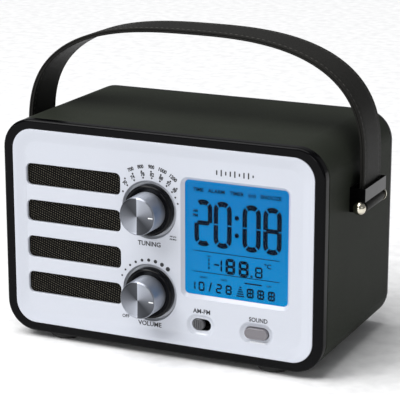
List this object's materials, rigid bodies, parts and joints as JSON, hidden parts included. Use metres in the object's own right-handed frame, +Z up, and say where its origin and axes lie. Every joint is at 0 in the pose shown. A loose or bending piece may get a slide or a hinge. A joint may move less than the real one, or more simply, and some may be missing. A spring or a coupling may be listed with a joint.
{
  "type": "clock radio",
  "caption": "Retro table clock radio with a leather-wrapped cabinet, slotted grille, two knobs, backlit clock display, stitched carrying strap and telescopic aerial.",
  "frame": {"origin": "centre of the object's box at the plane under the feet", "axes": "+Z up; the front panel faces -Y, and +X is to the right as the front is looked at"},
  "size_m": [0.2416, 0.1482, 0.2017],
  "materials": {
    "cabinet_plastic": "fine matt texture",
    "leatherette": "black leather-grain wrap, semi-gloss",
    "foot_rubber": "matt",
    "zinc_steel": "zinc plated",
    "gloss_black": "gloss",
    "panel_white": "satin pearl white",
    "speaker_cloth": "woven",
    "cone_paper": "matt",
    "ferrite": "matt",
    "clear_window": "clear polished",
    "display_blue": "backlit",
    "light_guide": "satin white",
    "circuit_board": "solder mask",
    "bright_metal": "polished",
    "knob_black": "satin gloss",
    "spun_metal": "spun face, turned sides",
    "switch_grey": "ribbed",
    "button_grey": "satin",
    "lead_red": "flexible",
    "copper_wire": "enamelled",
    "cell_wrap": "printed sleeve",
    "dark_metal": "black nickel, polished",
    "nickel": "warm nickel, polished",
    "strap_leather": "black stitched leather"
  },
  "bodies": {
    "cabinet": {"cabinet_shell": "cabinet_plastic", "leather_wrap": "leatherette", "feet": "foot_rubber", "foot_screws": "zinc_steel", "front_bezel": "gloss_black", "faceplate": "panel_white", "grille_cloth": "speaker_cloth", "front_baffle": "cabinet_plastic", "speaker_frame": "zinc_steel", "speaker_cone": "cone_paper", "speaker_magnet": "ferrite", "speaker_screws": "zinc_steel", "display_lens": "clear_window", "lcd_glass": "display_blue", "backlight": "light_guide", "display_holder": "light_guide", "display_board": "circuit_board", "tuner_board": "circuit_board", "board_screws": "zinc_steel", "tuning_capacitor": "light_guide", "volume_control": "zinc_steel", "band_switch": "zinc_steel", "sound_switch": "cabinet_plastic", "main_board": "circuit_board", "board_parts": "cabinet_plastic", "ribbon_cable": "light_guide", "speaker_lead": "lead_red", "ferrite_rod": "ferrite", "rod_coil": "copper_wire", "rod_holders": "light_guide", "rear_cover": "cabinet_plastic", "battery_box": "cabinet_plastic", "batteries": "cell_wrap", "battery_contacts": "bright_metal", "dc_socket": "cabinet_plastic", "headphone_socket": "cabinet_plastic", "rear_button_board": "circuit_board", "strap_brackets": "dark_metal", "case_screws": "dark_metal", "strap_pins": "nickel"},
    "tuning": {"tuning_shaft": "bright_metal", "tuning_knob_body": "knob_black", "tuning_knob_cap": "spun_metal"},
    "volume": {"volume_shaft": "bright_metal", "volume_knob_body": "knob_black", "volume_knob_cap": "spun_metal"},
    "band_slider": {"band_slider": "switch_grey"},
    "sound_button": {"sound_button": "button_grey"},
    "mode_button": {"mode_button": "button_grey"},
    "set_button": {"set_button": "button_grey"},
    "up_button": {"up_button": "button_grey"},
    "down_button": {"down_button": "button_grey"},
    "battery_door": {"battery_door": "cabinet_plastic"},
    "aerial_swivel": {"aerial_swivel": "bright_metal"},
    "aerial_mast": {"aerial_mast": "bright_metal"},
    "aerial_middle": {"aerial_middle": "bright_metal"},
    "aerial_tip": {"aerial_tip": "bright_metal"},
    "strap_left_leg": {"strap_left_leg": "strap_leather"},
    "strap_span": {"strap_span": "strap_leather"},
    "strap_right_leg": {"strap_right_leg": "strap_leather"}
  },
  "joints": [
    {"name": "tuning_turn", "type": "hinge", "parent": "cabinet", "child": "tuning", "pos_m": [-0.007, -0.0581, 0.0953], "axis": [0, 1, 0], "range_deg": [-170, 10]},
    {"name": "volume_turn", "type": "hinge", "parent": "cabinet", "child": "volume", "pos_m": [-0.007, -0.0581, 0.0413], "axis": [0, 1, 0], "range_deg": [-225, 50]},
    {"name": "band_slide", "type": "slide", "parent": "cabinet", "child": "band_slider", "axis": [1, 0, 0], "range_m": [0, 0.004]},
    {"name": "sound_button_press", "type": "slide", "parent": "cabinet", "child": "sound_button", "axis": [0, 1, 0], "range_m": [0, 0.0012], "stiffness_N_per_m": 350},
    {"name": "mode_button_press", "type": "slide", "parent": "cabinet", "child": "mode_button", "axis": [0, -1, 0], "range_m": [0, 0.0008], "stiffness_N_per_m": 350},
    {"name": "set_button_press", "type": "slide", "parent": "cabinet", "child": "set_button", "axis": [0, -1, 0], "range_m": [0, 0.0008], "stiffness_N_per_m": 350},
    {"name": "up_button_press", "type": "slide", "parent": "cabinet", "child": "up_button", "axis": [0, -1, 0], "range_m": [0, 0.0008], "stiffness_N_per_m": 350},
    {"name": "down_button_press", "type": "slide", "parent": "cabinet", "child": "down_button", "axis": [0, -1, 0], "range_m": [0, 0.0008], "stiffness_N_per_m": 350},
    {"name": "battery_door_hinge", "type": "hinge", "parent": "cabinet", "child": "battery_door", "pos_m": [0, 0.0625, 0.01655], "axis": [-1, 0, 0], "range_deg": [0, 100]},
    {"name": "aerial_turn", "type": "hinge", "parent": "cabinet", "child": "aerial_swivel", "pos_m": [0.0908, 0.0711, 0.128], "axis": [0, 1, 0], "range_deg": [0, 180]},
    {"name": "aerial_tilt", "type": "hinge", "parent": "aerial_swivel", "child": "aerial_mast", "pos_m": [0.0908, 0.0711, 0.128], "axis": [0, 0, -1], "range_deg": [0, 90]},
    {"name": "aerial_middle_slide", "type": "slide", "parent": "aerial_mast", "child": "aerial_middle", "axis": [-1, 0, 0], "range_m": [0, 0.108]},
    {"name": "aerial_tip_slide", "type": "slide", "parent": "aerial_middle", "child": "aerial_tip", "axis": [-1, 0, 0], "range_m": [0, 0.105]},
    {"name": "strap_left_sway", "type": "hinge", "parent": "cabinet", "child": "strap_left_leg", "pos_m": [-0.1165, 0.0029, 0.1007], "axis": [0, 1, 0], "range_deg": [-5, 5], "stiffness_Nm_per_rad": 0.3},
    {"name": "strap_span_level", "type": "hinge", "parent": "strap_left_leg", "child": "strap_span", "pos_m": [-0.1165, 0.0029, 0.1307], "axis": [0, 1, 0], "range_deg": [-5, 5]},
    {"name": "strap_right_sway", "type": "hinge", "parent": "strap_span", "child": "strap_right_leg", "pos_m": [0.1165, 0.0029, 0.1307], "axis": [0, 1, 0], "range_deg": [-5, 5]}
  ],
  "couplings": [
    {"joint": "strap_span_level", "follows": "strap_left_sway", "ratio": -1},
    {"joint": "strap_right_sway", "follows": "strap_left_sway", "ratio": 1}
  ]
}
